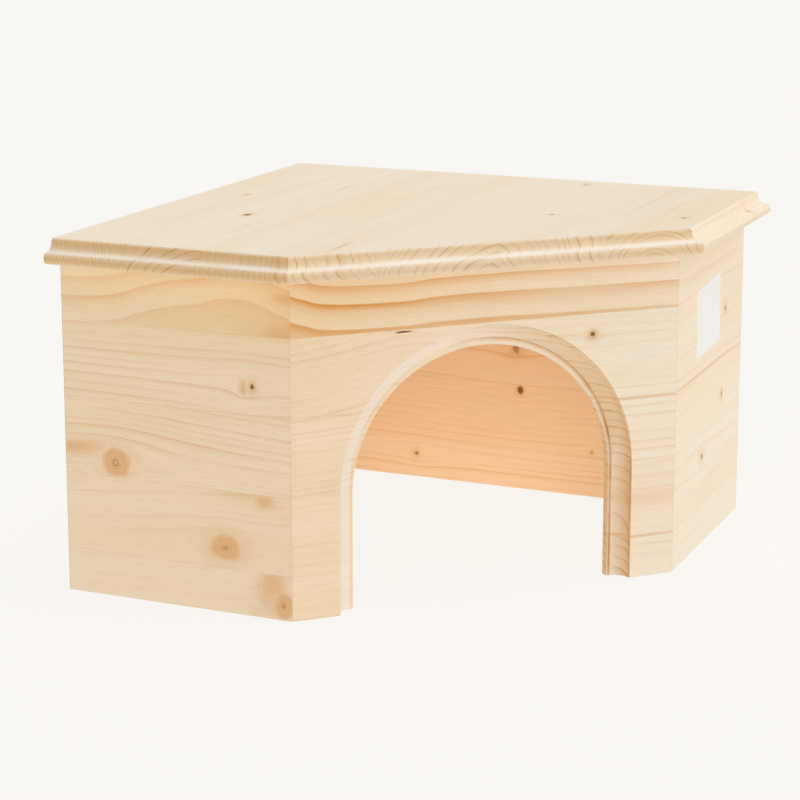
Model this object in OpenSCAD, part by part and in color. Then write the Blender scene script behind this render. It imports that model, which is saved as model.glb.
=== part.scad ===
// Corner house for a rabbit.
// Five mitred walls of glued spruce staves stand on a floor without a base board.
// One moulded roof board of glued staves lies on top, and a coved arch is the doorway.
// +Z is up, the doorway faces -Y, and the square back corner points to +Y.
// The origin is the centre of the footprint of the roof, at floor level.

/* [House] */
// Outer width of each back wall, from the back corner to a side wall
back_w = 360; // [320:1:440]
// Outer width of each side wall
side_w = 166; // [140:1:190]
// Height of the walls, from the floor to the underside of the roof
wall_h = 224; // [205:1:280]
// Thickness of the wall boards
wall_t = 16; // [15:0.5:20]

/* [Roof] */
// Thickness of the roof board
roof_t = 16; // [14:0.5:20]
// How far the moulded edges stand out from the walls
overhang = 19; // [14:1:30]
// Radius of the round bead along the lower edge of the moulding
bead_r = 4; // [2.5:0.25:4.5]
// Radius that rounds the top edge above the cove of the moulding
top_edge_r = 2; // [1:0.25:3]

/* [Doorway] */
// Width of the front wall that is left on each side of the doorway, at its outer face
pier_w = 32.7; // [26:0.1:60]
// Clear height of the doorway, from the floor to the crown of the arch
door_h = 169; // [150:1:180]
// Radius of the cove that is cut round the outer edge
door_cove_r = 10.5; // [6:0.5:12]
// Width of the flat step between the cove and the clear opening
door_step = 2; // [1:0.5:4]

/* [Staves] */
// Height of the lowest stave of each wall
foot_stave_h = 30; // [20:1:40]
// Height of wood left above the arch in the stave that bridges it
crown_cover_h = 4.5; // [3:0.5:12]

/* [Joinery] */
// Length of the flat biscuits that tie the mitres
biscuit_l = 47; // [40:1:50]
// Width of the biscuits, half of it in each wall
biscuit_w = 15; // [12:0.5:16]
// Thickness of the biscuits
biscuit_t = 4; // [3:0.5:5]
// Diameter of the dowels between the walls and the roof
dowel_d = 6; // [5:0.5:8]
// Length of the dowels
dowel_l = 25; // [20:1:26]

/* [Hidden] */
$fn = 96;

// Colours of the woods
SPRUCE = [0.91, 0.81, 0.66];
SPRUCE_WARM = [0.91, 0.74, 0.56];
BEECH = [0.80, 0.62, 0.45];

// Fits of the joinery: the biscuits swell tight in thickness and keep room lengthways
biscuit_room = 0.5;
dowel_room = 0.05;
dowel_end_room = 0.5;

// Depth of the dowels in the roof, as a share of its thickness
dowel_roof_share = 0.6;
dowel_in_roof = roof_t * dowel_roof_share;
dowel_in_wall = dowel_l - dowel_in_roof;
// Place of the two dowels of a wall, as a share of its run from either end
dowel_place = 0.13;
// Distance of the biscuits from the inner end of a mitre
biscuit_inset = wall_t / 2;
// How far cutting shapes run past the faces that they cut
past = 1;

// Doorway: its arch springs where a half circle between the piers reaches the clear height
DIAGONAL = 45;
front_w = (back_w - side_w) / sin(DIAGONAL);
door_outer_r = front_w / 2 - pier_w;
door_r = door_outer_r - door_cove_r - door_step;
spring_h = door_h - door_r;
crown_h = spring_h + door_outer_r;

// Staves in each wall: the foot, middle ones of equal height up past the arch, and the top
WALL_STAVES = 5;
MIDDLE_STAVES = WALL_STAVES - 2;
middle_stave_h = (crown_h + crown_cover_h - foot_stave_h) / MIDDLE_STAVES;
function stave_z(i) =
    i == 0 ? 0 :
    i == WALL_STAVES ? wall_h :
    foot_stave_h + (i - 1) * middle_stave_h;
function stave_middle(i) = (stave_z(i - 1) + stave_z(i)) / 2;

// Staves, counted from the floor, that hold a biscuit at each end, within their own height
BISCUIT_STAVES = [2, 4];
biscuit_margin = 2;
biscuit_reach = min(biscuit_l, middle_stave_h - 2 * biscuit_margin);

// Staves of the roof, which lie side by side from the left back edge
ROOF_STAVES = 7;
roof_run = back_w + overhang;
roof_stave_w = roof_run / ROOF_STAVES;

// Profile of the roof edge: a rounded top edge, then a cove, then a half-round bead
roof_cove_r = roof_t - 2 * bead_r - top_edge_r;

// Plan places: u runs from the back corner along the right back wall, v along the left one
house_depth = (back_w + side_w) * sin(DIAGONAL) + overhang;
back_y = house_depth / 2;
function plan(u, v) = [(u - v) * sin(DIAGONAL), back_y - (u + v) * sin(DIAGONAL)];

// Outer corners of the walls, anticlockwise from the back corner
CORNERS = [
    plan(0, 0),
    plan(0, back_w),
    plan(side_w, back_w),
    plan(back_w, side_w),
    plan(back_w, 0)
];
CORNER_COUNT = len(CORNERS);

// Walls in the same order, each from its own corner to the next one
LEFT_BACK = 0;
LEFT_SIDE = 1;
FRONT = 2;
RIGHT_SIDE = 3;
RIGHT_BACK = 4;

function corner(i) = CORNERS[(i + CORNER_COUNT) % CORNER_COUNT];
function unit(a) = a / norm(a);
function along(wall) = unit(corner(wall + 1) - corner(wall));
function inward(wall) = [-along(wall)[1], along(wall)[0]];
function run(wall) = norm(corner(wall + 1) - corner(wall));

// Inner end of the mitre at a corner, and the direction from there to its outer end
function mitre_offset(i) =
    let (a = inward(i - 1 + CORNER_COUNT), b = inward(i))
    wall_t * (a + b) / (1 + a * b);
function inner_corner(i) = corner(i) + mitre_offset(i % CORNER_COUNT);
function mitre_out(i) = -unit(mitre_offset(i));
function heading(a) = atan2(a[1], a[0]);

// Names of the nodes
function stave_names(stem, count) = [for (i = [1 : count]) str(stem, "_stave_", i)];
SPLIT_STAVES = 3;

// One flat biscuit, pointed at both ends, with its width across X and its length up
module biscuit_shape(room) {
    l = biscuit_reach + 2 * room;
    w = biscuit_w + 2 * room;
    arc_r = (l * l + w * w) / (4 * w);
    rotate([0, 90, 90])
        linear_extrude(biscuit_t, center = true)
            intersection() {
                translate([0, arc_r - w / 2])
                    circle(arc_r);
                translate([0, w / 2 - arc_r])
                    circle(arc_r);
            }
}

// The biscuits of one corner, or with room the slots for them
module corner_biscuits(i, room = 0) {
    place = inner_corner(i) + biscuit_inset * mitre_out(i);
    for (s = BISCUIT_STAVES)
        translate([place[0], place[1], stave_middle(s)])
            rotate(heading(mitre_out(i)) - 90)
                biscuit_shape(room);
}

// The two dowels of one wall, which stand on the bottom of their holes
module wall_dowels(wall, room = 0, end_room = 0) {
    for (share = [dowel_place, 1 - dowel_place]) {
        place = corner(wall) + share * run(wall) * along(wall) + wall_t / 2 * inward(wall);
        translate([place[0], place[1], wall_h - dowel_in_wall])
            cylinder(h = dowel_l + end_room, d = dowel_d + 2 * room);
    }
}

// The holes for those dowels, in the wall and the roof
module wall_dowel_holes(wall) {
    wall_dowels(wall, dowel_room, dowel_end_room);
}

// A wall from edge to edge, between two heights, with its mitred ends
module wall_slab(wall, bottom, top) {
    translate([0, 0, bottom])
        linear_extrude(top - bottom)
            polygon([
                corner(wall),
                corner(wall + 1),
                inner_corner(wall + 1),
                inner_corner(wall)
            ]);
}

// One stave of a wall, with the slots and holes that fall within it
module wall_stave(wall, i) {
    difference() {
        wall_slab(wall, stave_z(i - 1), stave_z(i));
        if (i == WALL_STAVES)
            wall_dowel_holes(wall);
        if (len(search(i, BISCUIT_STAVES)) > 0) {
            corner_biscuits(wall, biscuit_room);
            corner_biscuits((wall + 1) % CORNER_COUNT, biscuit_room);
        }
    }
}

// Half of the section through the doorway: X out from its middle, Y into the wall
module doorway_half_section() {
    step_r = door_r + door_step;
    translate([0, -past])
        square([door_r, wall_t + 2 * past]);
    translate([0, -past])
        square([step_r, door_cove_r + past]);
    intersection() {
        translate([step_r, 0])
            circle(door_cove_r);
        translate([0, -past])
            square([door_outer_r, door_cove_r + past]);
    }
}

// The space that the doorway takes out of the front wall: a half-round arch on two jambs
module doorway() {
    front_y = corner(FRONT)[1];
    translate([0, front_y, spring_h])
        rotate([-90, 180, 0])
            rotate_extrude(angle = 180)
                doorway_half_section();
    translate([0, front_y, -past])
        linear_extrude(spring_h + past) {
            doorway_half_section();
            mirror([1, 0])
                doorway_half_section();
        }
}

// One piece of a front stave beside the doorway: side is -1 on the left and 1 on the right
module front_stave_half(i, side) {
    difference() {
        wall_stave(FRONT, i);
        doorway();
        translate([side < 0 ? 0 : -back_w, -house_depth, -past])
            cube([back_w, 2 * house_depth, wall_h + 2 * past]);
    }
}

// Section of the wood that the moulding takes off: X out from the nose of the bead, Y up
module moulding_waste() {
    cove_y = roof_t - top_edge_r;
    top_x = -bead_r - roof_cove_r - top_edge_r;
    difference() {
        translate([top_x, cove_y])
            square([overhang, top_edge_r + past]);
        translate([top_x, cove_y])
            circle(top_edge_r);
    }
    translate([-bead_r, cove_y])
        circle(roof_cove_r);
    difference() {
        translate([-bead_r, -past])
            square([overhang, roof_t + 2 * past]);
        translate([-bead_r, bead_r])
            circle(bead_r);
    }
}

// That waste, run along the roof edge in front of a wall
module moulding_cut(wall) {
    middle = (corner(wall) + corner(wall + 1)) / 2 - overhang * inward(wall);
    translate([middle[0], middle[1], wall_h])
        rotate(heading(along(wall)) - 90)
            rotate([90, 0, 0])
                linear_extrude(2 * roof_run, center = true)
                    moulding_waste();
}

// The whole roof board: flush behind, moulded along the sides and the front
module roof_board() {
    front_run = (back_w + side_w) + overhang / sin(DIAGONAL);
    difference() {
        translate([0, 0, wall_h])
            linear_extrude(roof_t)
                polygon([
                    plan(0, 0),
                    plan(0, roof_run),
                    plan(front_run - roof_run, roof_run),
                    plan(roof_run, front_run - roof_run),
                    plan(roof_run, 0)
                ]);
        for (wall = [LEFT_SIDE, FRONT, RIGHT_SIDE])
            moulding_cut(wall);
    }
}

// The strip of the plan that one roof stave takes up
module roof_strip(i) {
    translate([0, 0, wall_h - past])
        linear_extrude(roof_t + 2 * past)
            polygon([
                plan((i - 1) * roof_stave_w, -past),
                plan((i - 1) * roof_stave_w, roof_run + past),
                plan(i * roof_stave_w, roof_run + past),
                plan(i * roof_stave_w, -past)
            ]);
}

module left_back_stave(i) {
    color(SPRUCE_WARM)
        wall_stave(LEFT_BACK, i);
}

module right_back_stave(i) {
    color(SPRUCE_WARM)
        wall_stave(RIGHT_BACK, i);
}

module left_side_stave(i) {
    color(SPRUCE)
        wall_stave(LEFT_SIDE, i);
}

module right_side_stave(i) {
    color(SPRUCE)
        wall_stave(RIGHT_SIDE, i);
}

module front_left_stave(i) {
    color(SPRUCE)
        front_stave_half(i, -1);
}

module front_right_stave(i) {
    color(SPRUCE)
        front_stave_half(i, 1);
}

// The stave that bridges the crown of the arch
module front_arch_stave() {
    color(SPRUCE)
        difference() {
            wall_stave(FRONT, SPLIT_STAVES + 1);
            doorway();
        }
}

module front_top_stave() {
    color(SPRUCE)
        difference() {
            wall_stave(FRONT, WALL_STAVES);
            doorway();
        }
}

module roof_stave(i) {
    color(SPRUCE)
        difference() {
            intersection() {
                roof_board();
                roof_strip(i);
            }
            for (wall = [LEFT_BACK : RIGHT_BACK])
                wall_dowel_holes(wall);
        }
}

module mitre_biscuits() {
    color(BEECH)
        for (i = [0 : CORNER_COUNT - 1])
            corner_biscuits(i);
}

module roof_dowels() {
    color(BEECH)
        for (wall = [LEFT_BACK : RIGHT_BACK])
            wall_dowels(wall);
}

for (i = [1 : WALL_STAVES]) {
    left_back_stave(i);
    right_back_stave(i);
    left_side_stave(i);
    right_side_stave(i);
}
for (i = [1 : SPLIT_STAVES]) {
    front_left_stave(i);
    front_right_stave(i);
}
front_arch_stave();
front_top_stave();
for (i = [1 : ROOF_STAVES]) {
    roof_stave(i);
}
mitre_biscuits();
roof_dowels();
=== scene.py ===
# %% [markdown]
# # A corner house for rabbits, in planed spruce
# The house stands in the corner of a pen: two long walls meet at the back,
# two short ones turn in at the sides, and the front is cut across the corner
# with an arched doorway. A roof board with a moulded edge lies on top.
# CAD has made every stave at its true size. Blender's work here is what the
# eye gets from the wood: growth rings that run through the board, knots that
# bend them, darker end grain in the mouldings, and softly eased corners.

# %% Load the frame
import math
import random

import bmesh
import bpy
from mathutils import Matrix, Vector


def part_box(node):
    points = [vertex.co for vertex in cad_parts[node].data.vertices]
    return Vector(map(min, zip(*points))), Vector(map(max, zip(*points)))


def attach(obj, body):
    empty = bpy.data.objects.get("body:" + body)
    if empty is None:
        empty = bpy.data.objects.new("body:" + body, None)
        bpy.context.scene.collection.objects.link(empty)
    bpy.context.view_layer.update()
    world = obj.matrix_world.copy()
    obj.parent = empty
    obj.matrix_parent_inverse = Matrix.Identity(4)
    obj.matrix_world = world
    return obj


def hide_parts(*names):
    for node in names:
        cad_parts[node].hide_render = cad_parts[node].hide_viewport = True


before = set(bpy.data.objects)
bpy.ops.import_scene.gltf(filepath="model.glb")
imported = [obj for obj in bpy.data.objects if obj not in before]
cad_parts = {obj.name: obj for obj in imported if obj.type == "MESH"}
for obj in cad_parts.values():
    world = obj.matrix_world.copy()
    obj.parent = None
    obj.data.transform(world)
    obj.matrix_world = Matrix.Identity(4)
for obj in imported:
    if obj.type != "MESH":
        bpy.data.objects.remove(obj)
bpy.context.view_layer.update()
scene = bpy.context.scene
MM = 0.001

# %% [markdown]
# A few small helpers serve the whole lesson. Colours are written as sRGB hex,
# as a colour picker shows them, and Blender's shaders want linear values, so
# one function turns one into the other. The next adds a node with its
# settings, fills each input with a value or links it to a socket, and gives
# back one output, ready to be the next node's input. The last two start a node
# tree: an empty one in a material or world, and a group with named sockets.

# %% Helpers for colours and nodes
MATH, VECTOR = "ShaderNodeMath", "ShaderNodeVectorMath"
NOISE, MIX, RANGE = "ShaderNodeTexNoise", "ShaderNodeMix", "ShaderNodeMapRange"
SPLIT, COMBINE = "ShaderNodeSeparateXYZ", "ShaderNodeCombineXYZ"
COORDINATES = "ShaderNodeTexCoord"
SMOOTH = {"interpolation_type": "SMOOTHSTEP"}


def linear(hex_colour):
    """An sRGB hex colour as the linear RGBA that shader sockets take."""
    shares = [int(hex_colour[i:i + 2], 16) / 255 for i in (1, 3, 5)]
    return (*[s / 12.92 if s <= 0.04045 else ((s + 0.055) / 1.055) ** 2.4
              for s in shares], 1.0)


def add(tree, kind, inputs=(), operation=None, out=0, **settings):
    """A new node's output: inputs are in order, or in a dict by name."""
    node = tree.nodes.new(kind)
    if operation:
        settings["operation"] = operation
    for name, value in settings.items():
        setattr(node, name, value)
    named = inputs.items() if isinstance(inputs, dict) else enumerate(inputs)
    for key, source in named:
        if isinstance(source, bpy.types.NodeSocket):
            tree.links.new(source, node.inputs[key])
        else:
            node.inputs[key].default_value = source
    return node.outputs[out] if len(node.outputs) else node


def emptied(holder):
    """The node tree of a material or world, without its default nodes."""
    holder.use_nodes = True
    holder.node_tree.nodes.clear()
    return holder.node_tree


def new_group(name, family, taken, made):
    """A node group and its inputs; sockets are listed by kind."""
    group = bpy.data.node_groups.new(name, family)
    for way, kinds in (("INPUT", taken), ("OUTPUT", made)):
        for kind, names in kinds.items():
            for socket in names:
                group.interface.new_socket(socket, in_out=way,
                                           socket_type="NodeSocket" + kind)
    return group, add(group, "NodeGroupInput").node.outputs


print("linear of #808080:", [round(c, 3) for c in linear("#808080")])

# %% [markdown]
# The camera stands to the left of the front and a little above the roof. Its
# place, turn and lens were fitted to the corners of the house. A small
# vertical shift keeps the upright corners nearly parallel, as a studio
# camera with a falling front does; a larger one would push the house out of
# the frame when the camera walks round it.

# %% Camera
IMAGE_PX = 800
FOCAL_PX = 2305.7
SHIFT_PX = -100
SENSOR_MM = 36
YAW, PITCH = 0.3786, 0.2028
TARGET = Vector((0, 0, 0.12))
DISTANCE, ASIDE, RAISED = 1.665, 0.0066, 0.046

ahead = Vector((math.sin(YAW) * math.cos(PITCH),
                math.cos(YAW) * math.cos(PITCH), -math.sin(PITCH)))
across = Vector((math.cos(YAW), -math.sin(YAW), 0))
upward = across.cross(ahead)
camera = bpy.data.objects.new("camera", bpy.data.cameras.new("camera"))
scene.collection.objects.link(camera)
camera.location = TARGET - ahead * DISTANCE + across * ASIDE + upward * RAISED
camera.rotation_euler = ahead.to_track_quat("-Z", "Y").to_euler()
camera.data.sensor_width = SENSOR_MM
camera.data.lens = FOCAL_PX * SENSOR_MM / IMAGE_PX
camera.data.shift_y = SHIFT_PX / IMAGE_PX
scene.camera = camera
print("camera", [round(c, 3) for c in camera.location],
      "lens", round(camera.data.lens, 1), "mm")

# %% [markdown]
# Studio light for pale wood: an even surround, a broad key light from the
# right so that the right wall is brightest, a soft one from above for the
# roof, and a fill from the left. The table is a lit one, as product
# photographers use: it sends light up into the house, most of all from its
# middle, so that the inside glows through the doorway. The camera sees it
# nearly white, with a soft shadow. Both the table and the world show the
# camera another shader than the one that lights the house, so they share one
# loop.

# %% Light and table
PAPER_WHITE = "#FAF8F4"
SURROUND, TABLE_GLOW, MIDDLE_GLOW = 0.42, 0.97, 1.32
# Where the glow begins to fall, where it has fallen and the table's edge, in m
MIDDLE_REACH, GLOW_REACH, TABLE_REACH = 0.10, 0.20, 14.0
UNSHADED = 0.92
scene.view_settings.view_transform = "Standard"
scene.world = world = bpy.data.worlds.new("studio surround")
table_mesh = bpy.data.meshes.new("table")
table_mesh.from_pydata(
    [(x * TABLE_REACH, y * TABLE_REACH, 0)
     for x, y in ((-1, -1), (1, -1), (1, 1), (-1, 1))], [], [(0, 1, 2, 3)])
table = bpy.data.objects.new("table", table_mesh)
scene.collection.objects.link(table)
lit = bpy.data.materials.new("lit white table")
table_mesh.materials.append(lit)

for holder, source, end, strength in (
        (world, "ShaderNodeBackground", "ShaderNodeOutputWorld", SURROUND),
        (lit, "ShaderNodeEmission", "ShaderNodeOutputMaterial", TABLE_GLOW)):
    t = emptied(holder)
    rays = add(t, "ShaderNodeLightPath").node.outputs
    seen = rays["Is Camera Ray"]
    for ray in ("Is Glossy Ray", "Is Transmission Ray"):
        seen = add(t, MATH, (seen, rays[ray]), "MAXIMUM")
    glow = add(t, source, {"Color": linear("#FFFAF4"), "Strength": strength})
    white = add(t, source, {"Color": linear(PAPER_WHITE), "Strength": 1.0})
    if holder is lit:
        away = add(t, COORDINATES, out="Object")
        away = add(t, VECTOR, (away,), "LENGTH", "Value")
        falling = add(t, RANGE, (away, MIDDLE_REACH, GLOW_REACH, MIDDLE_GLOW,
                                 strength), **SMOOTH)
        t.links.new(falling, glow.node.inputs["Strength"])
        shade = add(t, "ShaderNodeBsdfDiffuse", {"Color": linear("#FCFBF8")})
        white = add(t, "ShaderNodeMixShader", (UNSHADED, shade, white))
    add(t, end, (add(t, "ShaderNodeMixShader", (seen, glow, white)),))

# Each lamp: the way to it, its irradiance, how wide it is, its colour
LAMPS = {
    "key light": ((0.76, -0.16, 0.63), 0.94, 60, "#FFFBF5"),
    "top light": ((0.05, -0.05, 1.00), 0.78, 40, "#FFFFFF"),
    "fill light": ((-0.38, -0.91, 0.18), 0.76, 50, "#FFF8F0"),
}
for name, (way, strength, width, colour) in LAMPS.items():
    lamp = bpy.data.objects.new(name, bpy.data.lights.new(name, "SUN"))
    lamp.data.energy = strength
    lamp.data.angle = math.radians(width)
    lamp.data.color = linear(colour)[:3]
    lamp.rotation_euler = Vector(way).to_track_quat("Z", "Y").to_euler()
    scene.collection.objects.link(lamp)
print(len(LAMPS), "lamps over a table of", TABLE_REACH * 2, "m")

# %% [markdown]
# Wood has its own directions: along the grain, through the board and across
# it. Each wall gets a frame in millimetres with x along the grain from its
# left end, y into the board and z across. The corners come from the boxes of
# the solids, so the frames follow the house if its size changes.

# %% Corners and wall frames
back_lo, back_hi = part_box("left_back_stave_1")
front_lo, front_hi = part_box("front_top_stave")
right_lo, right_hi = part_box("right_back_stave_1")
back = Vector((0, back_hi.y))
left = Vector((back_lo.x, back_lo.y))
right = Vector((right_hi.x, right_lo.y))
front_left, front_right = front_lo.xy, Vector((front_hi.x, front_lo.y))
wall_ends = {
    "left_side": (left, front_left),
    "front": (front_left, front_right),
    "right_side": (front_right, right),
    "right_back": (right, back),
    "left_back": (back, left),
}
WALLS = list(wall_ends)
wall_way = {name: (end - start).normalized()
            for name, (start, end) in wall_ends.items()}
wall_out = {name: Vector((way.y, -way.x)) for name, way in wall_way.items()}
wall_thick = front_hi.y - front_lo.y
for name, (start, end) in wall_ends.items():
    print(name, round((end - start).length / MM, 1), "mm long")

# %% [markdown]
# A spruce trunk adds a pale, wide ring of earlywood each spring and a narrow,
# orange line of latewood at the end of summer. A board cuts through these
# cylinders, so its pattern is the distance from the pith, a line that lies
# outside the board. Where the cut runs along a ring the lines spread into
# flames; where it crosses the rings they are straight and close. Drawing the
# distance itself, not lines on a face, makes the pattern turn rightly into
# every cove and round every edge. The group's inputs are a board's own
# numbers, with lengths in millimetres.

# %% Growth rings and planed surface, as one shader group
EARLYWOOD = "#F7EBD8"
HONEY = "#F2D09D"
# Painted warm bounce light, for the inside of the back walls
PAINTED_BOUNCE = "#EDB885"
LATEWOOD = "#DE9D48"
LATE_EDGE = "#96602A"
END_GRAIN = "#CC9A44"
KNOT_TAN = "#E2AB6C"
KNOT_DARK = "#6A3B12"
GLUE = "#C2A075"
# A painted highlight, near white
PAINTED_HIGHLIGHT = "#FFFCF8"

spruce, given = new_group("planed spruce", "ShaderNodeTree", {
    "Vector": ("Place", "Pith", "Lean"),
    "Float": ("End", "Seam", "Disc", "Mark", "Seed", "Ring", "Sway", "Fickle",
              "Late", "Sharp", "Patchy", "Warmth", "Wane", "Heartwood", "Burnish")},
    {"Color": ("Color",), "Float": ("Roughness", "Height")})
t = spruce

# Lumps of noise in the board: sizes along, into and across it in mm, detail
lumps = {}
for name, size, detail in (
        ("sway", (170, 40, 40), 1.5), ("ripple", (45, 9, 9), 1.0),
        ("patch", (110, 7, 7), 1.0), ("tone", (260, 28, 28), 1.0),
        ("fibre", (16, 0.6, 0.6), 2.0), ("canal", (7, 0.5, 0.5), 0.0)):
    at = add(t, VECTOR, (given["Place"], [1 / s for s in size]), "MULTIPLY")
    lumps[name] = add(t, NOISE, {"Vector": at, "W": given["Seed"], "Scale": 1.0,
                                 "Detail": detail}, noise_dimensions="4D")

# How far the trunk wandered as it grew: slow sway, and a finer ripple
bent = add(t, MATH, (lumps["ripple"], 0.3, lumps["sway"]), "MULTIPLY_ADD")
bent = add(t, MATH, (bent, 2.0, -1.3), "MULTIPLY_ADD")
bent = add(t, MATH, (bent, given["Sway"]), "MULTIPLY")
# Distance from the pith, which may lean across the board along its length
along = add(t, SPLIT, (given["Place"],))
drift = add(t, VECTOR, {0: given["Lean"], "Scale": along}, "SCALE")
pith = add(t, VECTOR, (given["Pith"], drift), "ADD")
away = add(t, VECTOR, (given["Place"], pith), "SUBTRACT")
away = add(t, VECTOR, (away, (0, 1, 1)), "MULTIPLY")
away = add(t, VECTOR, (away,), "LENGTH", "Value")
years = add(t, MATH, (away, bent), "ADD")
years = add(t, MATH, (years, given["Ring"]), "DIVIDE")
# Fat and lean years: the count of rings runs ahead or behind a little
luck = add(t, MATH, (years, 0.37, given["Seed"]), "MULTIPLY_ADD")
luck = add(t, NOISE, {"W": luck, "Scale": 1.0, "Detail": 1.0}, noise_dimensions="1D")
luck = add(t, MATH, (luck, 2.0, -1.0), "MULTIPLY_ADD")
years = add(t, MATH, (luck, given["Fickle"], years), "MULTIPLY_ADD")
season = add(t, MATH, (years,), "FRACT")
year = add(t, MATH, (years,), "FLOOR")
year = add(t, MATH, (year, given["Seed"]), "ADD")
year = add(t, "ShaderNodeTexWhiteNoise", {"W": year}, noise_dimensions="1D")

# Latewood deepens slowly through the season and stops at once in winter
winter = add(t, RANGE, (season, 0.93, 1.0, 1.0, 0.0), **SMOOTH)
sharp = add(t, MATH, (given["End"], 4.0, given["Sharp"]), "MULTIPLY_ADD")
late = add(t, MATH, (season, sharp), "POWER")
late = add(t, MATH, (late, winter), "MULTIPLY")
brim = add(t, MATH, (late, 2.0), "POWER")
# Some years are strong and some faint, and each line fades here and there;
# in end grain all of them are strong
patch = add(t, RANGE, (lumps["patch"], 0.36, 0.60, 0.1, 1.0))
year = add(t, MATH, (year, 0.9, 0.25), "MULTIPLY_ADD")
faded = add(t, MATH, (year, patch), "MULTIPLY")
faded = add(t, MIX, {0: given["Patchy"], 2: 1.0, 3: faded})
wane = add(t, MATH, (along, given["Wane"]), "MULTIPLY")
kept = add(t, MATH, (1.0, wane), "SUBTRACT", use_clamp=True)
strength = given["Late"]
for factor in (kept, faded):
    strength = add(t, MATH, (strength, factor), "MULTIPLY")
strong = add(t, MATH, (patch, 0.6, 0.7), "MULTIPLY_ADD")
strong = add(t, MATH, (strong, year), "MULTIPLY")
cut = add(t, MATH, (given["End"], 0.6), "POWER")
strength = add(t, MIX, {0: cut, 2: strength, 3: strong})
late = add(t, MATH, (late, strength), "MULTIPLY", use_clamp=True)
brim = add(t, MATH, (brim, strength), "MULTIPLY")
dark = add(t, MATH, (cut, 1.3, 0.06), "MULTIPLY_ADD")
brim = add(t, MATH, (brim, dark), "MULTIPLY", use_clamp=True)

# Colour: slow changes of tone, latewood, resin canals and fine fibres
tone = add(t, MATH, (lumps["tone"], 0.5), "SUBTRACT")
tone = add(t, MATH, (tone, 0.7, given["Warmth"]), "MULTIPLY_ADD")
tone = add(t, MATH, (tone, wane), "SUBTRACT", use_clamp=True)
canal = add(t, RANGE, (lumps["canal"], 0.68, 0.78, 0.0, 0.16))
end = add(t, MATH, (cut, 0.66), "MULTIPLY")
# A dark heart sits in branch wood, never straight in the pale wood
branch = add(t, MATH, (given["Mark"], 1.3), "MULTIPLY", use_clamp=True)
branch = add(t, MATH, (given["Disc"], branch), "MAXIMUM")
wood = linear(EARLYWOOD)
# Painted light in this mix: a warm, darker tint for bounce light inside the back walls
for share, colour in ((tone, HONEY), (given["Heartwood"], PAINTED_BOUNCE),
                      (end, END_GRAIN), (late, LATEWOOD), (brim, LATE_EDGE),
                      (canal, LATEWOOD), (branch, KNOT_TAN),
                      (given["Mark"], KNOT_DARK), (given["Seam"], GLUE),
                      # a near-white painted highlight on the roof's bead step and the
                      # left doorway cove
                      (given["Burnish"], PAINTED_HIGHLIGHT)):
    wood = add(t, MIX, {0: share, 6: wood, 7: linear(colour)}, out=2,
               data_type="RGBA")
streak = add(t, RANGE, (lumps["fibre"], 0.25, 0.75, 0.95, 1.04))
wood = add(t, VECTOR, {0: wood, "Scale": streak}, "SCALE")
rough = add(t, MATH, (late, -0.10, 0.62), "MULTIPLY_ADD")
rough = add(t, MATH, (lumps["fibre"], 0.10, rough), "MULTIPLY_ADD")
height = add(t, MATH, (lumps["fibre"], 0.5, late), "MULTIPLY_ADD")
add(t, "NodeGroupOutput", (wood, rough, height))
print("planed spruce group:", len(spruce.nodes), "nodes")

# %% [markdown]
# A knot is the foot of a branch. The rings of the trunk flow round it like
# water round a post, and the branch shows its own small rings, with a brown
# heart. The group below bends the place at which the rings are read, and
# passes on how much of the wood is knot. Knots are chained, so a board can
# have several.

# %% Knots, as a second shader group
knot, given = new_group("knot", "ShaderNodeTree", {
    "Vector": ("Place", "Centre", "Size", "Bend"),
    "Float": ("Disc", "Mark", "Heart", "Hollow", "Tan", "Dark", "Soft")},
    {"Vector": ("Place",), "Float": ("Disc", "Mark")})
t = knot
apart = add(t, VECTOR, (given["Place"], given["Centre"]), "SUBTRACT")
apart = add(t, VECTOR, (apart, (1, 0, 1)), "MULTIPLY")
# The flow: full at the heart, gone a few branch widths away
flow = add(t, VECTOR, (apart, given["Bend"]), "DIVIDE")
flow = add(t, VECTOR, (flow, flow), "DOT_PRODUCT", "Value")
flow = add(t, MATH, (flow, 1.0), "ADD")
flow = add(t, MATH, (0.88, flow), "DIVIDE")
shift = add(t, VECTOR, (apart, (0, 0, 1)), "MULTIPLY")
shift = add(t, VECTOR, {0: shift, "Scale": flow}, "SCALE")
turned = add(t, VECTOR, (given["Place"], shift), "SUBTRACT")
# How far out in the branch: 0 at its heart and 1 at its bark
part = add(t, VECTOR, (apart, given["Size"]), "DIVIDE")
part = add(t, VECTOR, (part,), "LENGTH", "Value")
within = add(t, VECTOR, (given["Place"], given["Size"]), "DIVIDE")
wobble = add(t, NOISE, {"Vector": within, "Scale": 1.0, "Detail": 1.0})
wobble = add(t, MATH, (wobble, 0.5), "SUBTRACT")
part = add(t, MATH, (wobble, 0.55, part), "MULTIPLY_ADD")
rim = add(t, MATH, (part, 1.0), "SUBTRACT")
rim = add(t, MATH, (rim, given["Soft"]), "DIVIDE")
disc = add(t, RANGE, (rim, -1.0, 1.0, 1.0, 0.0), **SMOOTH)
halo = add(t, RANGE, (part, 0.9, 2.3, 0.25, 0.0), **SMOOTH)
disc = add(t, MATH, (disc, halo), "MAXIMUM")
disc = add(t, MATH, (disc, given["Tan"]), "MULTIPLY")
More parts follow.
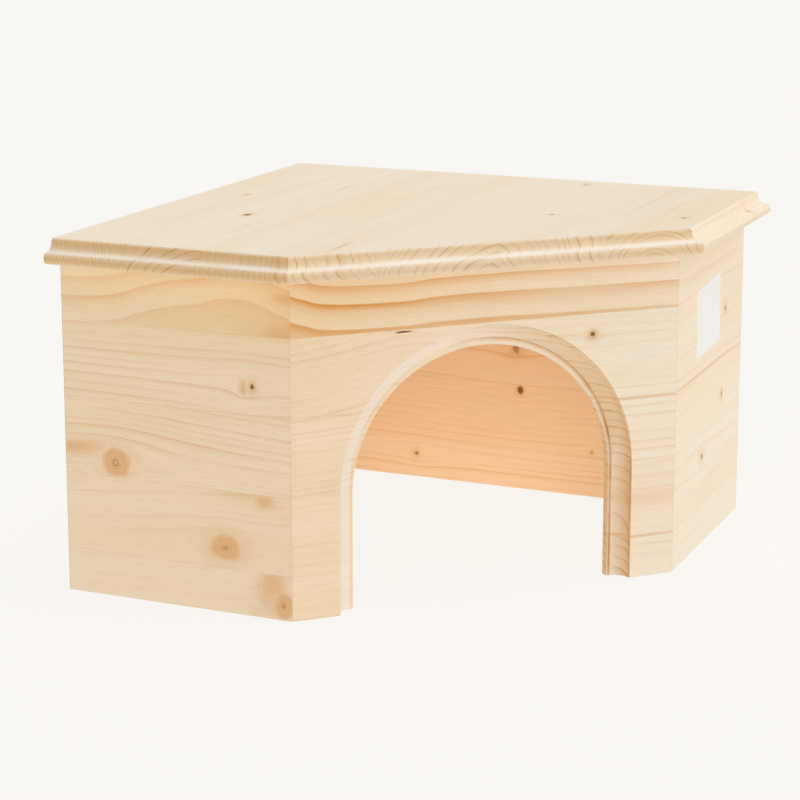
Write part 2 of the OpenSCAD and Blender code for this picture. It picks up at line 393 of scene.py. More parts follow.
# The heart is a ragged spot in a small knot and a ring in a large one
ragged = add(t, NOISE, {"Vector": within, "Scale": 3.0, "Detail": 2.0})
ragged = add(t, RANGE, (ragged, 0.3, 0.7, -0.2, 0.2))
inner = add(t, MATH, (part, given["Heart"]), "DIVIDE")
inner = add(t, MATH, (inner, ragged), "ADD")
spot = add(t, RANGE, (inner, 0.5, 1.3, 1.0, 0.0), **SMOOTH)
ring = add(t, MATH, (inner, 0.9), "SUBTRACT")
ring = add(t, MATH, (ring,), "ABSOLUTE")
ring = add(t, RANGE, (ring, 0.0, 0.4, 1.0, 0.0), **SMOOTH)
heart = add(t, MIX, {0: given["Hollow"], 2: spot, 3: ring})
heart = add(t, MATH, (heart, given["Dark"]), "MULTIPLY")
# The branch's own rings are faint
grown = add(t, MATH, (part, 21.0), "MULTIPLY")
grown = add(t, MATH, (grown,), "SINE")
grown = add(t, MATH, (grown, 0.04, 0.04), "MULTIPLY_ADD")
grown = add(t, MATH, (grown, disc), "MULTIPLY")
mark = add(t, MATH, (heart, grown), "MAXIMUM")
disc, mark = (add(t, MATH, (given[name], share), "MAXIMUM")
              for name, share in (("Disc", disc), ("Mark", mark)))
add(t, "NodeGroupOutput", (turned, disc, mark))

# Kinds of knot: their numbers for the group, and how far each bends the grain
# along and across, counted in its own half sizes
KNOT_NUMBERS = ("Heart", "Hollow", "Tan", "Dark", "Soft")
KNOTS = {
    "live": ((0.22, 1.0, 0.74, 0.45, 0.32), (2.8, 1.5)),
    "tight": ((0.36, 0.3, 0.58, 0.75, 0.45), (3.0, 1.6)),
    "dead": ((0.55, 0.0, 0.45, 0.88, 0.50), (3.0, 1.6)),
    "pin": ((0.42, 0.0, 0.55, 0.85, 0.60), (4.0, 1.6)),
    "pale pin": ((0.38, 0.0, 0.42, 0.60, 0.60), (3.5, 1.6)),
    "pocket": ((0.80, 0.0, 0.50, 0.95, 0.40), (2.2, 5.0)),
    "blush": ((0.10, 0.0, 0.60, 0.0, 0.80), (2.0, 1.8)),
    "grown": ((0.20, 0.2, 0.72, 0.38, 0.32), (2.8, 1.5)),
    "band": ((0.10, 0.0, 0.25, 0.0, 0.90), (1.0, 1.0)),
    "hair": ((0.90, 0.0, 0.20, 0.07, 0.80), (1.0, 1.0)),
}
print("knot group:", len(knot.nodes), "nodes;", len(KNOTS), "kinds")

# %% [markdown]
# A stave's material is built in three steps that the walls and the roof
# share: a frame of its own, with the share of end grain; its knots; and the
# finish. Raw spruce that was planed and sanded has a low sheen, so the
# roughness stays near 0.6, and its bump is only fibres and the latewood that
# stands a hair proud of the soft wood.

# %% A stave's material, in three steps
BUMP, BUMP_DEEP, SHEEN = 0.25, 0.15 * MM, 0.3


def stave_frame(name, origin, turn, grain):
    """A new material, the place in a stave's frame in mm, and its end grain."""
    material = bpy.data.materials.new(name)
    t = emptied(material)
    told = add(t, COORDINATES).node.outputs
    place = add(t, "ShaderNodeMapping",
                (told["Object"], origin, turn, (MM, MM, MM)), vector_type="TEXTURE")
    facing = add(t, VECTOR, (told["Normal"], grain), "DOT_PRODUCT", "Value")
    return material, place, add(t, MATH, (facing, facing), "MULTIPLY")


def with_knots(t, place, knots):
    """Place bent by knots, and the shares of branch wood and of dark heart."""
    disc = mark = 0.0
    for kind, x, z, half_x, half_z in knots:
        numbers, (far_x, far_z) = KNOTS[kind]
        place, disc, mark = add(t, "ShaderNodeGroup", {
            "Place": place, "Disc": disc, "Mark": mark, "Centre": (x, 0, z),
            "Size": (half_x, 1, half_z),
            "Bend": (half_x * far_x, 1, half_z * far_z),
            **dict(zip(KNOT_NUMBERS, numbers))}, node_tree=knot).node.outputs[:3]
    return place, disc, mark


def finish_wood(material, place, end, seam, disc, mark, board):
    """The ring group with a board's numbers, and the shader of raw wood."""
    t = material.node_tree
    wood = add(t, "ShaderNodeGroup", {
        "Place": place, "End": end, "Seam": seam, "Disc": disc, "Mark": mark,
        **board}, node_tree=spruce).node.outputs
    bump = add(t, "ShaderNodeBump", {"Height": wood["Height"], "Strength": BUMP,
                                     "Distance": BUMP_DEEP})
    shader = add(t, "ShaderNodeBsdfPrincipled", {
        "Base Color": wood["Color"], "Roughness": wood["Roughness"],
        "Normal": bump, "Specular IOR Level": SHEEN})
    add(t, "ShaderNodeOutputMaterial", (shader,))


print("stave material ready")

# %% [markdown]
# Every stave was sawn from another part of a tree, so each one has its own
# numbers: where its pith lies (into and across the board), how wide its rings
# are, how strong and how sharp its latewood is. The boards that show were
# matched to the real house; the others are drawn at random from the
# same range, with a fixed seed. Some boards also have a lie: the grain rises
# and falls along them, given as points of x and rise. The warmth is partly
# painted light, more on the shaded walls and less on the lit right. The back
# walls turn warmer and darker towards their inside: painted warm bounce light.

# %% The boards
# What most boards share; inputs of the group that nothing sets stay 0
PLAIN = {"Sway": 1.5, "Fickle": 0.5, "Sharp": 3.5, "Patchy": 1.0}
# How much warm bounce light is painted inside the back walls
PAINTED_BOUNCE_SHARE = 0.5
# From the foot up: pith into and across the board, its lean, width of rings,
# latewood and warmth; None is left to chance
# Warmth is partly painted light: high on the shaded left wall, low on the lit right wall
# and the right of the front
matched = {
    "left_side": [(40, -60, 0.05, 6.0, 0.2, 0.37), (45, -40, 0.07, 6.0, 0.24, 0.45),
                  (25, 30, -0.03, 4.6, 0.5, 0.46), (20, 60, -0.008, 5.5, 0.6, 0.44),
                  (45, 166, 0, 8.4, 0.52, 0.58)],
    "front_left": [(30, -60, 0, 5.0, 0.3, 0.4), (40, -30, 0, 5.0, 0.3, 0.5),
                   (25, 20, 0.04, 4.0, 0.4, 0.5)],
    "front_right": [(30, -30, 0, 7.0, 0.3, 0.1), (35, 20, 0, 9.0, 0.5, 0.2),
                    (20, 40, 0, 6.0, 0.4, 0.0)],
    "right_side": [(30, -30, 0, 7.0, 0.2, 0.0), (35, 20, 0, 9.0, 0.3, 0.05),
                   (20, 40, 0, 8.0, 0.3, 0.1), (30, 60, 0, 5.0, 0.24, 0.1),
                   (45, 166, 0, 8.4, 0.3, 0.08)],
    "right_back": [(-20, -60, 0, 4.4, 0.6, 0.5), (-25, -20, 0, 4.6, 0.6, 0.5),
                   (-30, 40, 0, 6.0, 0.7, 0.5), (-30, 90, 0, 6.0, 0.6, 0.5), None],
    "left_back": [None] * 5,
}
over_door = {"front_top_stave": (45, 166, 0, 8.4, 1.55, 0.75),
             "front_arch_stave": (30, 60, 0, 5.0, 0.4, 0.58)}
# What sets a board apart from PLAIN
odd = {
    "left_side_stave_4": {"Fickle": 0.3, "Wane": -0.0009},
    "left_side_stave_5": {"Fickle": 0.0, "Wane": -0.0018, "Sharp": 2.2, "Sway": 0.8,
                          "Patchy": 0.5},
    "front_top_stave": {"Fickle": 0.1, "Wane": 0.0020, "Sharp": 2.2, "Sway": 1.0,
                        "Patchy": 0.5},
    "front_arch_stave": {"Fickle": 0.3, "Wane": 0.0022},
}
lies = {
    "left_side_stave_5": ((0, -3), (30, -2), (60, 5), (80, 9.5), (100, 12),
                          (125, 16), (140, 15), (155, 10), (166, 6)),
    "front_top_stave": ((0, 9), (10, 5.5), (25, 1.5), (45, 0), (77, -0.5),
                        (100, 1), (140, 1.5), (210, 0.8), (274, 0.5)),
    "front_arch_stave": ((0, 0), (30, 4), (60, 10), (80, 13), (110, 10),
                         (150, 5), (200, 2), (274, 0)),
}
# Knots: kind, centre along and across, half sizes along and across, in mm
knots = {
    "left_side_stave_1": [("grown", 160, 10, 7.5, 8.5), ("blush", 151.5, 18, 10, 10)],
    "left_side_stave_2": [("grown", 118, 44, 11.5, 8.5), ("blush", 147, 74.5, 7, 4.5),
                          ("band", 133, 78, 18, 4)],
    "left_side_stave_3": [("live", 38.5, 92, 10.5, 10), ("blush", 10, 97, 18, 3.5)],
    "left_side_stave_4": [("pin", 139, 152.5, 3.8, 4.8),
                          ("blush", 132.5, 152, 2.6, 2.2)],
    "left_side_stave_5": [("blush", 164, 211, 10, 3), ("blush", 166, 186, 22, 8)],
    "front_arch_stave": [("pocket", 76.5, 184.5, 7.5, 0.8),
                         ("pocket", 80.5, 185.3, 3, 0.5), ("pin", 211, 172, 4.4, 4.0)],
    "front_right_stave_3": [("blush", 235, 126, 65, 1.0)],
    "front_right_stave_2": [("band", 240, 55, 60, 4.0)],
    "front_right_stave_1": [("blush", 240, 29, 45, 0.8)],
    "right_side_stave_4": [("pale pin", 119, 162, 4, 4.2)],
    "right_side_stave_3": [("pale pin", 115, 100, 4, 4.8),
                           ("blush", 83, 126.5, 100, 0.8)],
    "right_side_stave_2": [("pale pin", 67, 65, 5, 4.6)],
    "right_back_stave_1": [("pale pin", 253, 19, 4.2, 4.4)],
    "right_back_stave_2": [("pale pin", 109, 35, 2.6, 2.4),
                           ("dead", 167, 78.2, 4.6, 5.6)],
    "right_back_stave_3": [("tight", 171, 110, 6.5, 7)],
}
draw = random.Random(11)
boards = {}


def sawn(name, numbers):
    """Put one board's numbers into boards, with a seed of its own."""
    into, over, lean, ring, late, warmth = numbers
    boards[name] = {
        **PLAIN, "Seed": draw.uniform(0, 90), "Pith": (0, into, over),
        "Lean": (0, 0, lean), "Ring": ring, "Late": late, "Warmth": warmth,
        # The back walls get painted warm bounce light on their inside
        "Heartwood": PAINTED_BOUNCE_SHARE if "back" in name else 0.0, **odd.get(name, {})}


for wall, rows in matched.items():
    for number, numbers in enumerate(rows, 1):
        chance = (draw.uniform(-45, 60), draw.choice((-40, 60, 170)),
                  draw.uniform(-0.03, 0.03), draw.uniform(4, 8),
                  draw.uniform(0.3, 0.6), draw.uniform(0.2, 0.6))
        sawn(f"{wall}_stave_{number}", numbers or chance)
for name, numbers in over_door.items():
    sawn(name, numbers)
boards["left_side_stave_5"]["Seed"] = boards["front_top_stave"]["Seed"]
print(len(boards), "boards,", sum(map(len, knots.values())), "knots")

# %% [markdown]
# The staves are glued edge to edge, and the walls are glued in a mitre at the
# corners. A good glue joint hardly shows: a hair line, broken here and there.
# It is drawn where a stave's frame says that an edge or the mitre plane is,
# so it can't drift away from the joint.

# %% Glue joints and the lie of the grain
# Lines at a glue joint and at a mitre: half width in mm, strength
GLUE_LINE, MITRE_LINE = (0.28, 0.3), (0.35, 0.12)


def beside(wall):
    """The walls before and after a wall."""
    here = WALLS.index(wall)
    return WALLS[here - 1], WALLS[(here + 1) % len(WALLS)]


def joint_lines(t, node, wall, x, y, z):
    """How much glue shows at the edges of a stave and at its wall's mitres."""
    lines = [(z, side.z / MM, *GLUE_LINE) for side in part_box(node)]
    # The mitre planes lean half the corner's turn into the wall
    start, finish = wall_ends[wall]
    for other, base, sign in zip(beside(wall), (0.0, (finish - start).length / MM),
                                 (-1, 1)):
        lean = math.tan(wall_out[wall].angle(wall_out[other]) / 2)
        leaned = add(t, MATH, (y, sign * lean, x), "MULTIPLY_ADD")
        lines.append((leaned, base, *MITRE_LINE))
    seam = 0.0
    for where, line, half, strength in lines:
        near = add(t, MATH, (where, line, half), "COMPARE")
        near = add(t, MATH, (near, strength), "MULTIPLY")
        seam = add(t, MATH, (seam, near), "MAXIMUM")
    return seam


def with_lie(t, place, x, lie):
    """Place moved by the lie of the grain, a curve from 0 to 1 along the stave."""
    xs, rises = zip(*lie)
    low, span, length = min(rises), max(rises) - min(rises), xs[-1]
    share = add(t, MATH, (x, length), "DIVIDE")
    risen = add(t, "ShaderNodeFloatCurve", {"Value": share})
    points = risen.node.mapping.curves[0].points
    while len(points) < len(xs):
        points.new(0.5, 0.5)
    for point, at, rise in zip(points, xs, rises):
        point.location = (at / length, (rise - low) / span)
    risen.node.mapping.update()
    risen = add(t, MATH, (risen, -span, -low), "MULTIPLY_ADD")
    return add(t, VECTOR, (place, add(t, COMBINE, {2: risen})), "ADD")


print("joints drawn", GLUE_LINE[0] * 2, "and", MITRE_LINE[0] * 2, "mm wide")

# %% [markdown]
# The doorway is half a circle on two jambs. Its cutter leaves a narrow ledge
# and, outside of it, a cove. In the right half the router ran against the
# grain: the cove shows its rings there as end grain does, and the ledge and
# the edges are browned. That darkening is partly tear-out and burn and partly
# painted shade, as this half faces away from the key light. The left cove is
# painted paler, as a painted highlight.

# %% What the router left in the doorway
STEP, COVE = 2.0, 10.5
left_jamb, right_jamb = (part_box(f"front_{side}_stave_1") for side in ("left", "right"))
door_half = (right_jamb[0].x - left_jamb[1].x) / 2 / MM
door_middle = (left_jamb[1].x - front_lo.x) / MM + door_half
crown = max(v.co.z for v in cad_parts["front_arch_stave"].data.vertices
            if v.co.z < front_lo.z - MM) / MM
door_spring = crown - door_half - STEP - COVE
ledge = door_half + STEP
# The right half; the torn cove, partly painted shade; the left cove's painted
# highlight: from and to in mm, and the shares there
RIGHT_HALF, TORN_AND_SHADED, LEFT_HIGHLIGHT = (-30, 45, 0.05, 0.8), (0, 30, 0.0, 0.55), (-70, 70, 0.45, 0.0)
# Each burn line, partly painted shade at the step and the edges: radius from
# the arch's middle and half width in mm, brown, dark
BURNS_AND_SHADE = ((door_half + STEP / 2, STEP / 2, 0.8, 0.0), (ledge, 0.7, 1.2, 0.48),
         (ledge + COVE / 2, COVE / 2, 0.16, 0.0), (ledge + COVE, 0.3, 0.6, 0.25))


def routed(t, x, y, z, broken, end, disc, mark):
    """End grain, branch wood and dark, partly painted shade, and a painted highlight."""
    side = add(t, MATH, (x, door_middle), "SUBTRACT")
    rise = add(t, MATH, (z, door_spring), "SUBTRACT")
    rise = add(t, MATH, (rise, 0.0), "MAXIMUM")
    beyond = add(t, COMBINE, (side, rise))
    beyond = add(t, VECTOR, (beyond,), "LENGTH", "Value")
    outside = add(t, MATH, (y, STEP + COVE), "LESS_THAN")
    # The right half: end grain and tear-out, partly painted shade
    right = add(t, RANGE, (side, *RIGHT_HALF))
    end = add(t, MATH, (end, right), "MULTIPLY")
    cove = add(t, MATH, (beyond, ledge + COVE / 2, COVE / 2), "COMPARE")
    cove = add(t, MATH, (cove, outside), "MULTIPLY")
    torn_and_shaded = add(t, RANGE, (rise, *TORN_AND_SHADED))
    for factor in (cove, right):
        torn_and_shaded = add(t, MATH, (torn_and_shaded, factor), "MULTIPLY")
    end = add(t, MATH, (end, torn_and_shaded), "MAXIMUM")
    uneven = add(t, MATH, (broken, 0.5, 0.5), "MULTIPLY_ADD")
    # Burn lines, partly painted shade along the step and the edges
    for line, half, brown, dark in BURNS_AND_SHADE:
        burn_and_shade = add(t, MATH, (beyond, line, half), "COMPARE")
        for factor in (outside, right, uneven):
            burn_and_shade = add(t, MATH, (burn_and_shade, factor), "MULTIPLY")
        tanned = add(t, MATH, (burn_and_shade, brown), "MULTIPLY")
        disc = add(t, MATH, (disc, tanned), "MAXIMUM")
        burn_and_shade = add(t, MATH, (burn_and_shade, dark), "MULTIPLY")
        mark = add(t, MATH, (mark, burn_and_shade), "MAXIMUM")
    # A painted highlight on the left cove
    left_highlight = add(t, RANGE, (side, *LEFT_HIGHLIGHT))
    return end, disc, mark, add(t, MATH, (cove, left_highlight), "MULTIPLY")


print("arch of", round(door_half, 1), "mm springs at", round(door_spring, 1), "mm")

# %% Wall materials
# Joints break up in lumps of this size, between these values of the noise
BROKEN_MM, BROKEN = 25, (0.42, 0.62, 0.15, 1.0)
# Where the painted bounce light starts and where it is full, in mm into a back wall
PAINTED_BOUNCE_FROM, PAINTED_BOUNCE_TO = 2.0, 13.0


def wall_wood(node, wall):
    """The planed spruce of one wall stave, with its joints."""
    way = wall_way[wall]
    material, place, end = stave_frame(
        f"planed spruce {node.replace('_', ' ')}", (*wall_ends[wall][0], 0),
        (0, 0, math.atan2(way.y, way.x)), (*way, 0))
    t = material.node_tree
    x, y, z = add(t, SPLIT, (place,)).node.outputs
    broken = add(t, VECTOR, (place, [1 / BROKEN_MM] * 3), "MULTIPLY")
    broken = add(t, NOISE, {"Vector": broken, "Scale": 1.0, "Detail": 2.0})
    broken = add(t, RANGE, (broken, *BROKEN))
    seam = joint_lines(t, node, wall, x, y, z)
    seam = add(t, MATH, (seam, broken), "MULTIPLY")
    place, disc, mark = with_knots(t, place, knots.get(node, ()))
    # A painted highlight on the front's left cove
    painted_highlight = 0.0
    if wall == "front":
        end, disc, mark, painted_highlight = routed(t, x, y, z, broken, end, disc, mark)
    if node in lies:
        place = with_lie(t, place, x, lies[node])
    # Painted bounce light: the back walls turn warmer and darker towards the inside
    heart = add(t, RANGE, (y, PAINTED_BOUNCE_FROM, PAINTED_BOUNCE_TO, 0.0, boards[node]["Heartwood"]))
    finish_wood(material, place, end, seam, disc, mark,
                {**boards[node], "Heartwood": heart, "Burnish": painted_highlight})
    return material


print("wall material ready; joints break up every", BROKEN_MM, "mm or so")

# %% [markdown]
# The walls keep the shape of their solids. Only the sharp corners change: the
# joiner passes sandpaper along each outer corner and round the foot. A bevel
# would open a groove in the mitre, because each stave ends in half a corner,
# so the corner is planed: copies of the solids are cut by a few planes that
# touch the same rounding on both sides of the mitre.

# %% Planes that ease an edge
CORNER_EASE = 1.4 * MM
FOOT_EASE = 0.8 * MM
EASE_STEP = math.radians(15)
FOOT_SLOPES = math.radians(22.5), math.radians(67.5)


def corner_planes(wall):
    """Planes that touch the rounded corners at both ends of a wall."""
    planes = []
    before, after = beside(wall)
    for first, second in ((before, wall), (wall, after)):
        one, two = wall_out[first], wall_out[second]
        middle = wall_ends[second][0] - (one + two) * CORNER_EASE / (1 + one.dot(two))
        turn = one.angle_signed(two)
        steps = math.ceil(abs(turn) / EASE_STEP)
        for step in range(steps):
            way = one.copy()
            way.rotate(Matrix.Rotation(-turn * (step + 0.5) / steps, 2))
            touch = middle + way * CORNER_EASE
            planes.append((Vector((*touch, 0)), Vector((*way, 0))))
    return planes


def foot_planes(wall):
    """Planes that touch the rounded lower edges of a wall, outside and inside."""
    start, out = wall_ends[wall][0], wall_out[wall]
    planes = []
    for face, way in ((start, out), (start - out * wall_thick, -out)):
        for slope in FOOT_SLOPES:
            normal = Vector((*(way * math.cos(slope)), -math.sin(slope)))
            middle = Vector((*(face - way * FOOT_EASE), FOOT_EASE))
            planes.append((middle + normal * FOOT_EASE, normal))
    return planes


print("corners eased by", CORNER_EASE / MM, "mm, feet by", FOOT_EASE / MM, "mm")

# %% Wall staves with eased corners
FLAT_AREA = 150 * MM * MM
FLAT_ANGLE, SHARP_ANGLE = math.radians(0.2), math.radians(20)
HAIR = MM / 1000


def eased(node, wall):
    """A copy of a stave's solid, cut by the planes that ease its edges."""
    bm = bmesh.new()
    bm.from_mesh(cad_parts[node].data)
    bmesh.ops.remove_doubles(bm, verts=bm.verts, dist=HAIR)
    planes = corner_planes(wall)
    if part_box(node)[0].z < MM:
        planes += foot_planes(wall)
    for point, normal in planes:
        cut = bmesh.ops.bisect_plane(
            bm, geom=bm.verts[:] + bm.edges[:] + bm.faces[:], dist=HAIR,
            plane_co=point, plane_no=normal, clear_outer=True)
        rim = [part for part in cut["geom_cut"]
               if isinstance(part, bmesh.types.BMEdge) and len(part.link_faces) == 1]
        if rim:
            bmesh.ops.contextual_create(bm, geom=rim)
    bmesh.ops.dissolve_limit(bm, angle_limit=FLAT_ANGLE, verts=bm.verts,
                             edges=bm.edges)
    bmesh.ops.recalc_face_normals(bm, faces=bm.faces)
    for face in bm.faces:
        face.smooth = True
    for edge in bm.edges:
        wide = any(f.calc_area() > FLAT_AREA for f in edge.link_faces)
        edge.smooth = not wide and edge.calc_face_angle(math.pi) < SHARP_ANGLE
    loose = sum(len(edge.link_faces) != 2 for edge in bm.edges)
    mesh = bpy.data.meshes.new(node.replace("stave", "board"))
    bm.to_mesh(mesh)
    bm.free()
    piece = bpy.data.objects.new(mesh.name, mesh)
    scene.collection.objects.link(piece)
    return piece, loose


open_edges = 0
for node in sorted(boards):
    wall = "front" if node.startswith("front") else node.rsplit("_stave", 1)[0]
    piece, loose = eased(node, wall)
    open_edges += loose
    piece.data.materials.append(wall_wood(node, wall))
    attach(piece, "root")
    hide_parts(node)
print(len(boards), "wall staves eased;", open_edges, "open edges")

# %% [markdown]
# The roof is glued up from seven staves, sawn to its five-sided outline and
# then moulded with a router along the three free edges: a round bead below, a
# cove above it and a softened top edge. That is a rule, so Geometry Nodes
# make it: an outline with a mitre vector at each corner is extruded step by
# step, and each step sets the outline in by what the profile says at that
# height. The two back edges have no mitre vector across them, so they stay
# upright where the roof meets the corner of the pen.

# %% The roof's outline
roof_boxes = [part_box(f"roof_stave_{number}") for number in range(1, 8)]
roof_low = Vector([min(box[0][axis] for box in roof_boxes) for axis in range(3)])
roof_high = Vector([max(box[1][axis] for box in roof_boxes) for axis in range(3)])
reach, run = roof_high.x, roof_high.y - roof_high.x - roof_low.y
nose = [(0, roof_high.y), (-reach, roof_high.y - reach),
        (run - reach, roof_low.y), (reach - run, roof_low.y),
        (reach, roof_high.y - reach)]
HALF_TURN = math.sqrt(0.5)
OBTUSE = math.sqrt(2) - 1
mitres = [(0, 0), (HALF_TURN, HALF_TURN), (OBTUSE, 1), (-OBTUSE, 1),
          (-HALF_TURN, HALF_TURN)]
roof_mesh = bpy.data.meshes.new("roof_outline")
roof_mesh.from_pydata([(*corner, roof_low.z) for corner in nose], [],
                      [tuple(range(len(nose)))])
for name, kind, field, values in (
        ("outline", "FLOAT_VECTOR", "vector", [(*c, roof_low.z) for c in nose]),
        ("mitre", "FLOAT_VECTOR", "vector", [(*m, 0) for m in mitres]),
        ("corner", "INT", "value", range(len(nose)))):
    layer = roof_mesh.attributes.new(name, kind, "POINT")
    for item, value in zip(layer.data, values):
        setattr(item, field, value)
roof = bpy.data.objects.new("roof_panel", roof_mesh)
scene.collection.objects.link(roof)
print("roof outline", [[round(c / MM, 1) for c in corner] for corner in nose])

# %% The moulded edge, as a geometry node tree
moulded, given = new_group("moulded roof edge", "GeometryNodeTree", {
    "Geometry": ("Geometry",),
    "Float": ("Bead Radius", "Cove Radius", "Top Edge Radius"),
    "Int": ("Steps",), "Material": ("Wood",)}, {"Geometry": ("Geometry",)})
t = moulded
bead, cove, edge = (given[name + " Radius"] for name in ("Bead", "Cove", "Top Edge"))
outline, mitre = (add(t, "GeometryNodeInputNamedAttribute", {"Name": name},
                      data_type="FLOAT_VECTOR") for name in ("outline", "mitre"))
inset = add(t, VECTOR, {0: mitre, "Scale": bead}, "SCALE")
start = add(t, "GeometryNodeSetPosition", {
    "Geometry": given["Geometry"],
    "Position": add(t, VECTOR, (outline, inset), "ADD")})
zone_end = add(t, "GeometryNodeRepeatOutput").node
zone = add(t, "GeometryNodeRepeatInput").node
zone.pair_with_output(zone_end)
zone_end.repeat_items.new("BOOLEAN", "Top")
t.links.new(start, zone.inputs["Geometry"])
t.links.new(add(t, MATH, (given["Steps"], 3), "MULTIPLY"), zone.inputs["Iterations"])
zone.inputs["Top"].default_value = True

# Which part of the profile this step is on, and how far along that part
share = add(t, MATH, (zone.outputs["Iteration"], given["Steps"]), "DIVIDE")
part = add(t, MATH, (share,), "FLOOR")
share = add(t, MATH, (share, part), "SUBTRACT")
step = add(t, MATH, (1.0, given["Steps"]), "DIVIDE")
share = add(t, MATH, (share, step), "ADD")
half = add(t, MATH, (share, math.pi, -math.pi / 2), "MULTIPLY_ADD")
quarter = add(t, MATH, (share, math.pi / 2), "MULTIPLY")
half_sine, half_cosine, sine, cosine = (
    add(t, MATH, (angle,), wave)
    for angle in (half, quarter) for wave in ("SINE", "COSINE"))
bead_top = add(t, MATH, (bead, 2.0), "MULTIPLY")
cove_in = add(t, MATH, (bead, cove), "ADD")
cove_top = add(t, MATH, (bead_top, cove), "ADD")
edge_in = add(t, MATH, (cove_in, edge), "ADD")
# Bead, cove and top edge: the radius, then the wave, sign and base of how far
# in and of how far up a point is
points = []
for radius, *ways in (
        (bead, (half_cosine, -1, bead), (half_sine, 1, bead)),
        (cove, (sine, 1, bead), (cosine, -1, cove_top)),
        (edge, (cosine, -1, edge_in), (sine, 1, cove_top))):
    spots = []
    for wave, sign, base in ways:
        signed = add(t, MATH, (radius, sign), "MULTIPLY")
        spots.append(add(t, MATH, (signed, wave, base), "MULTIPLY_ADD"))
    points.append(add(t, COMBINE, spots))
switch = add(t, "GeometryNodeIndexSwitch", data_type="VECTOR").node
switch.index_switch_items.new()
for place, source in enumerate((part, *points)):
    t.links.new(source, switch.inputs[place])
set_in, set_up, _ = add(t, SPLIT, (switch.outputs[0],)).node.outputs
moved = add(t, VECTOR, {0: mitre, "Scale": set_in}, "SCALE")
for more in (outline, add(t, COMBINE, {2: set_up})):
    moved = add(t, VECTOR, (moved, more), "ADD")
grown = add(t, "GeometryNodeExtrudeMesh", {
    "Mesh": zone.outputs["Geometry"], "Selection": zone.outputs["Top"],
    "Offset Scale": 0.0, "Individual": False}, mode="FACES").node.outputs
grown_top = add(t, "GeometryNodeSetPosition", {
    "Geometry": grown["Mesh"], "Selection": grown["Top"], "Position": moved})
t.links.new(grown_top, zone_end.inputs["Geometry"])
t.links.new(grown["Top"], zone_end.inputs["Top"])

# Close it below, keep the faces flat and the upright corners sharp
joined = add(t, "GeometryNodeJoinGeometry").node
t.links.new(add(t, "GeometryNodeFlipFaces", {"Mesh": start}), joined.inputs[0])
t.links.new(zone_end.outputs["Geometry"], joined.inputs[0])
closed = add(t, "GeometryNodeMergeByDistance",
             {"Geometry": joined.outputs[0], "Distance": HAIR})
upright = add(t, SPLIT, (add(t, "GeometryNodeInputNormal"),), out=2)
level = add(t, "FunctionNodeCompare", {
    0: add(t, MATH, (upright,), "ABSOLUTE"), 1: 0.9999}, "LESS_THAN",
    data_type="FLOAT")
smooth = add(t, "GeometryNodeSetShadeSmooth", {
    "Geometry": closed, "Selection": True, "Shade Smooth": level})
corner = add(t, "GeometryNodeInputNamedAttribute", {"Name": "corner"},
             data_type="INT")
ends = add(t, "GeometryNodeInputMeshEdgeVertices").node.outputs
sides = [add(t, "GeometryNodeFieldAtIndex", {"Index": ends[number], "Value": corner},
             data_type="INT", domain="POINT") for number in (0, 1)]
column = add(t, "FunctionNodeCompare", {2: sides[0], 3: sides[1]}, "EQUAL",
             data_type="INT")
sharp = add(t, "GeometryNodeStoreNamedAttribute", {
    "Geometry": smooth, "Name": "sharp_edge", "Value": column},
    data_type="BOOLEAN", domain="EDGE")
real = add(t, "GeometryNodeRealizeInstances", (sharp,))
add(t, "NodeGroupOutput",
    (add(t, "GeometryNodeSetMaterial", {"Geometry": real, "Material": given["Wood"]}),))
print("moulded edge tree:", len(t.nodes), "nodes")

# %% [markdown]
# The roof is paler than the walls, partly in its own tone and partly as a
# painted highlight on its lit top. On top its rings give fine straight
# lines; on the left edge, which cuts across the grain, they show as dense
# brown end grain; on the front edge, cut at 45 degrees, as short dashes and
# arcs; and the right edge runs along the grain and stays plain. The step
# between bead and cove gets a near-white painted highlight. All seven
# staves share one material: the stave's number picks its rings and tone.

# %% The roof's material
GRAIN = Vector((-HALF_TURN, -HALF_TURN, 0))
ROOF_GLUE = (0.25, 0.14)
BEAD_DEEP = 3.5
SHINE, SHINE_PATCH = (0.7, 0.98, 0.0, 0.6), (70, 70, 40)
roof_knots = [("dead", 237, 74.5, 6, 4.4), ("blush", 159, 34.5, 5, 2),
              ("pale pin", 154, 265, 3.8, 2.8), ("pale pin", 132, 352, 5, 3.2),
              ("blush", 17, 244, 4, 3), ("blush", 320, 184, 14, 1.2),
              ("pale pin", 42, 373, 4.5, 3.5),
              ("hair", 80, 312, 62, 0.8), ("hair", 91, 336, 31, 0.7),
              ("hair", 93, 148, 54, 0.6), ("hair", 107, 86, 28, 1.2),
              ("hair", 133, 143, 6, 0.6), ("hair", 129, 137, 7, 0.6),
              ("hair", 124, 122, 14, 0.6)]
# Each stave's pith, below the top and across the roof, and its rings, in mm
roof_staves = [(-15, 75, 2.6), (45, 112, 5.0), (10, 330, 3.2), (-25, 260, 4.6),
               (28, 275, 4.5), (30, 250, 4.0), (20, 352, 4.0)]
stave_wide = (Vector(nose[1]) - Vector(nose[0])).length / MM / len(roof_boxes)
roof_wood, place, end = stave_frame(
    "planed spruce roof", (*nose[0], roof_high.z),
    (math.radians(-90), 0, math.radians(-135)), GRAIN)
t = roof_wood.node_tree
_, depth, across_roof = add(t, SPLIT, (place,)).node.outputs
number = add(t, MATH, (across_roof, stave_wide), "DIVIDE")
line = add(t, MATH, (number, 0.5), "ADD")
line = add(t, MATH, (line,), "FRACT")
seam = add(t, MATH, (line, 0.5, ROOF_GLUE[0] / stave_wide), "COMPARE")
seam = add(t, MATH, (seam, ROOF_GLUE[1]), "MULTIPLY")
number = add(t, MATH, (number,), "FLOOR")
luck = add(t, "ShaderNodeTexWhiteNoise", {"W": number}, noise_dimensions="1D")
row = (0, 0, 0)
